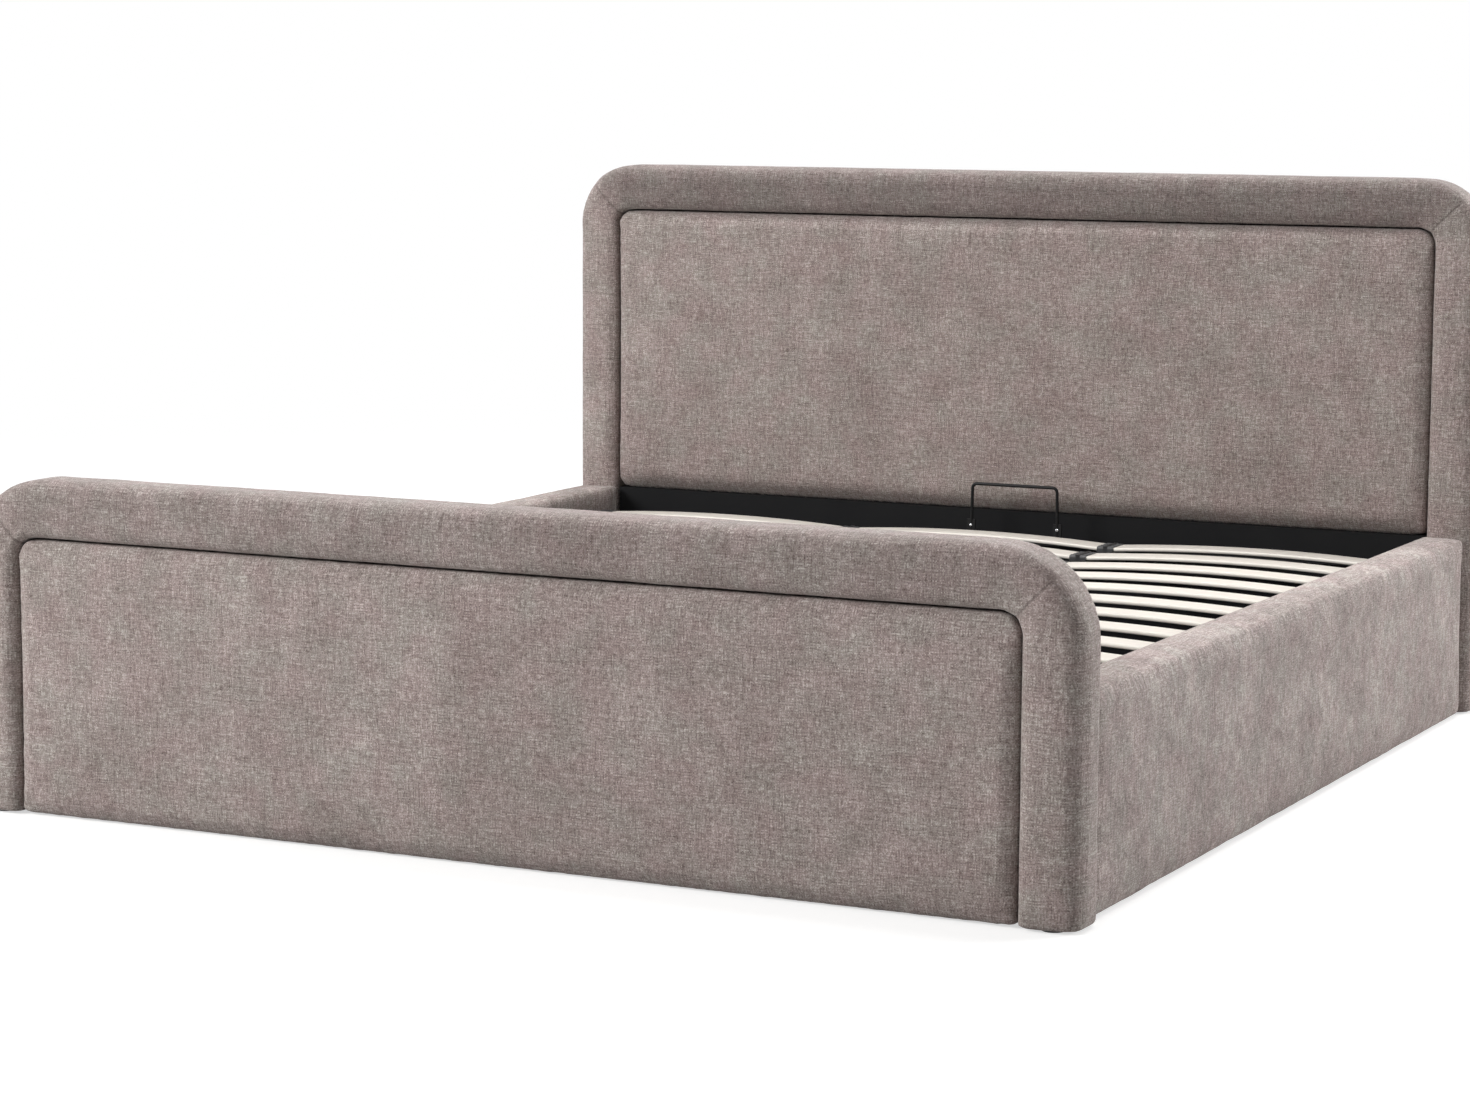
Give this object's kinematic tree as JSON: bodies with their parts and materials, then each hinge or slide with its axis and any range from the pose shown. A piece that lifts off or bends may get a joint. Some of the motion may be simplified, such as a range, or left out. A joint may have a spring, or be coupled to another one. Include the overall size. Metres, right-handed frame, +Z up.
{
  "type": "upholstered storage bed",
  "caption": "Low upholstered double bed with rounded padded head and foot boards and a sprung slatted platform that lifts at the foot on gas struts over a storage box.",
  "frame": {"origin": "on the floor, under the middle of the bed's outer box", "axes": "+Y towards the headboard, +X to the right of someone standing at the foot, +Z up"},
  "size_m": [2.03, 2.23, 1.062],
  "materials": {
    "cover_cloth": "woven taupe chenille with light and dark flecks",
    "black_lining": "matt black lining cloth over board",
    "bare_timber": "planed bare pine",
    "base_board": "black faced hardboard",
    "pale_birch": "whitewashed laminated birch",
    "strap_webbing": "black woven webbing",
    "plastic_black": "moulded black plastic",
    "steel_black": "black powder coat",
    "steel_zinc": "zinc plated",
    "steel_bright": "chromed"
  },
  "bodies": {
    "bed_frame": {"headboard_core": "cover_cloth", "headboard_border": "cover_cloth", "headboard_pad": "cover_cloth", "headboard_lower_board": "black_lining", "footboard_core": "cover_cloth", "footboard_border": "cover_cloth", "footboard_pad": "cover_cloth", "side_rail_core_left": "cover_cloth", "side_rail_core_right": "cover_cloth", "side_rail_pad_left": "cover_cloth", "side_rail_pad_right": "cover_cloth", "ledger_left": "bare_timber", "ledger_right": "bare_timber", "ledger_foot": "bare_timber", "base_batten_left": "bare_timber", "base_batten_right": "bare_timber", "base_centre_beam": "bare_timber", "base_panel_left": "base_board", "base_panel_right": "base_board", "corner_bracket_head_left": "steel_black", "corner_bracket_head_right": "steel_black", "corner_bracket_foot_left": "steel_black", "corner_bracket_foot_right": "steel_black", "floor_glide_head_left": "plastic_black", "floor_glide_head_right": "plastic_black", "floor_glide_foot_left": "plastic_black", "floor_glide_foot_right": "plastic_black", "hinge_plate_left": "steel_zinc", "hinge_plate_right": "steel_zinc", "pivot_bolt_left": "steel_zinc", "pivot_bolt_right": "steel_zinc", "strut_base_pin_left": "steel_zinc", "strut_base_pin_right": "steel_zinc"},
    "platform": {"platform_tube_left": "steel_black", "platform_tube_right": "steel_black", "platform_tube_foot": "steel_black", "platform_tube_head": "steel_black", "platform_bar_left": "steel_black", "platform_bar_right": "steel_black", "slat_row_01": "pale_birch", "slat_row_02": "pale_birch", "slat_row_03": "pale_birch", "slat_row_04": "pale_birch", "slat_row_05": "pale_birch", "slat_row_06": "pale_birch", "slat_row_07": "pale_birch", "slat_row_08": "pale_birch", "slat_row_09": "pale_birch", "slat_row_10": "pale_birch", "slat_row_11": "pale_birch", "slat_row_12": "pale_birch", "slat_row_13": "pale_birch", "mattress_retainer": "steel_black", "lift_strap": "strap_webbing", "strut_top_pin_left": "steel_zinc", "strut_top_pin_right": "steel_zinc"},
    "strut_barrel_left": {"strut_cylinder_left": "steel_black"},
    "strut_barrel_right": {"strut_cylinder_right": "steel_black"},
    "strut_piston_left": {"strut_rod_left": "steel_bright"},
    "strut_piston_right": {"strut_rod_right": "steel_bright"}
  },
  "joints": [
    {"name": "platform_lift", "type": "hinge", "parent": "bed_frame", "child": "platform", "pos_m": [0, 0.685, 0.275], "axis": [-1, 0, 0], "range_deg": [0, 38]},
    {"name": "strut_barrel_swing_left", "type": "hinge", "parent": "bed_frame", "child": "strut_barrel_left", "pos_m": [-0.862, 0.48355, 0.06639], "axis": [-1, 0, 0], "range_deg": [0, 19]},
    {"name": "strut_barrel_swing_right", "type": "hinge", "parent": "bed_frame", "child": "strut_barrel_right", "pos_m": [0.862, 0.48355, 0.06639], "axis": [-1, 0, 0], "range_deg": [0, 19]},
    {"name": "strut_piston_swing_left", "type": "hinge", "parent": "platform", "child": "strut_piston_left", "pos_m": [-0.862, 0.395, 0.275], "axis": [-1, 0, 0], "range_deg": [-19, 0]},
    {"name": "strut_piston_swing_right", "type": "hinge", "parent": "platform", "child": "strut_piston_right", "pos_m": [0.862, 0.395, 0.275], "axis": [-1, 0, 0], "range_deg": [-19, 0]}
  ],
  "couplings": [
    {"joint": "strut_barrel_swing_left", "follows": "platform_lift", "ratio": 0.5},
    {"joint": "strut_barrel_swing_right", "follows": "platform_lift", "ratio": 0.5},
    {"joint": "strut_piston_swing_left", "follows": "platform_lift", "ratio": -0.5},
    {"joint": "strut_piston_swing_right", "follows": "platform_lift", "ratio": -0.5}
  ]
}
